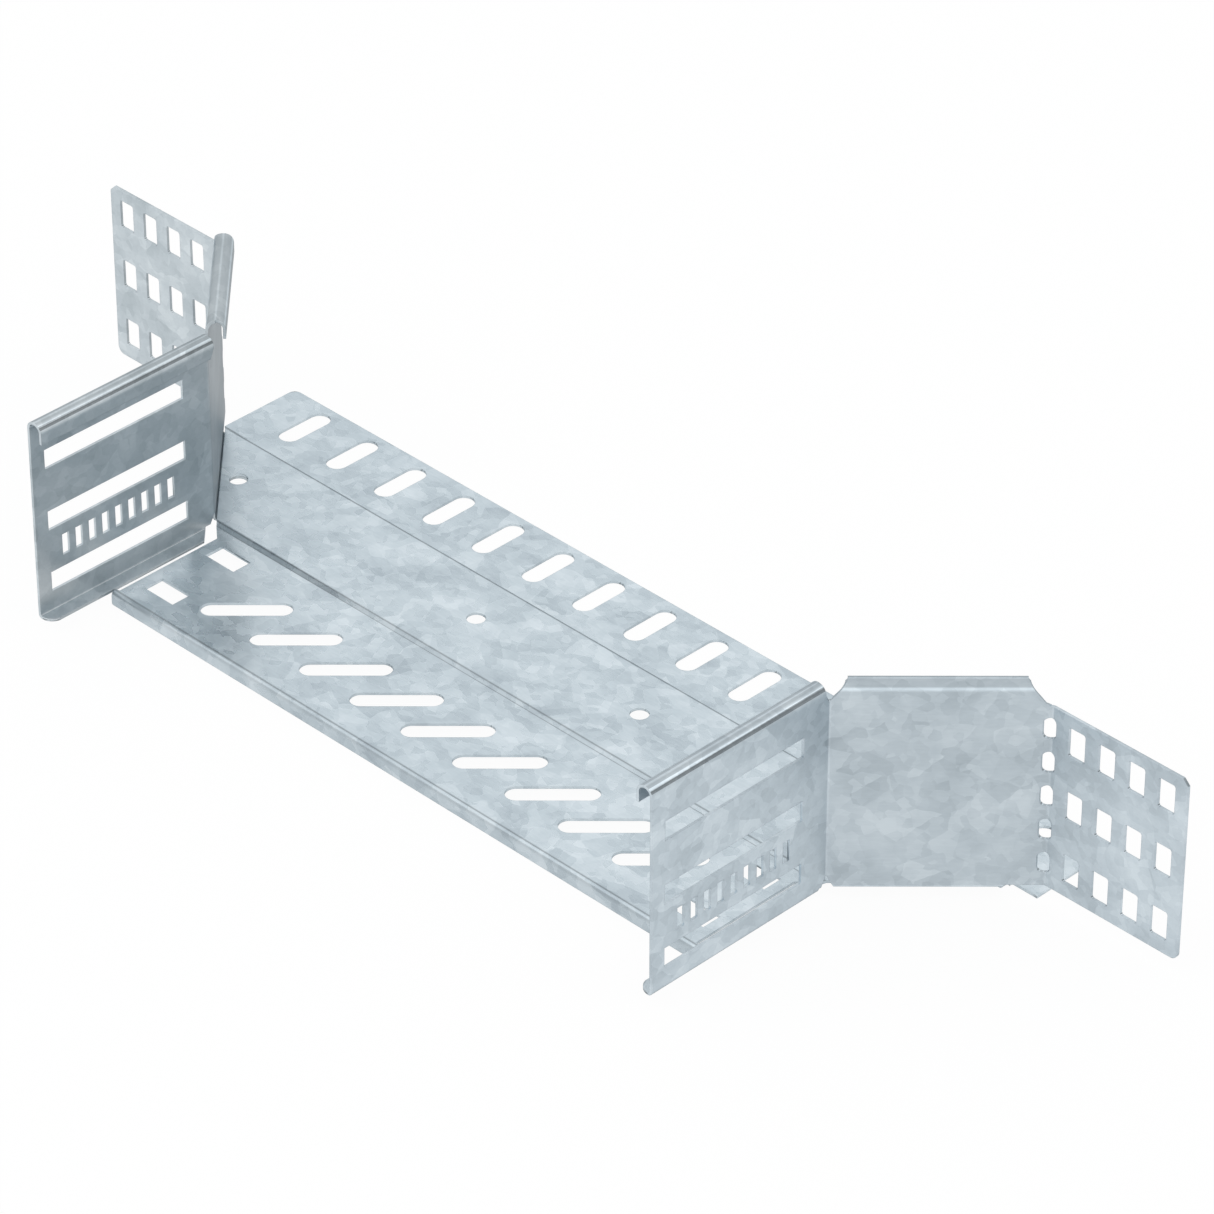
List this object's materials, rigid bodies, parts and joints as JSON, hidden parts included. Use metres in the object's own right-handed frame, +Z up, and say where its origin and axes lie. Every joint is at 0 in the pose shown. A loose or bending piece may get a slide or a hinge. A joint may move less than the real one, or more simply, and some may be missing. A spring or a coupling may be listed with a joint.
{
  "type": "cable tray branch tee",
  "caption": "Add-on branch tee for a perforated cable tray: slotted floor with a stepped rear strip, slotted side panels, 45 degree walls and perforated mating flanges, in galvanised sheet.",
  "frame": {"origin": "centre of the box's base, on the surface that the lip and the rear strip stand on", "axes": "+X along the main tray, +Y from the branch run towards the main tray, +Z up"},
  "size_m": [0.5088, 0.1632, 0.0858],
  "materials": {
    "galvanised_floor": "strip galvanised, soft spangle",
    "galvanised_side": "strip galvanised, soft spangle"
  },
  "bodies": {
    "root": {"floor_plate": "galvanised_floor", "left_side": "galvanised_side", "right_side": "galvanised_side"}
  },
  "joints": []
}
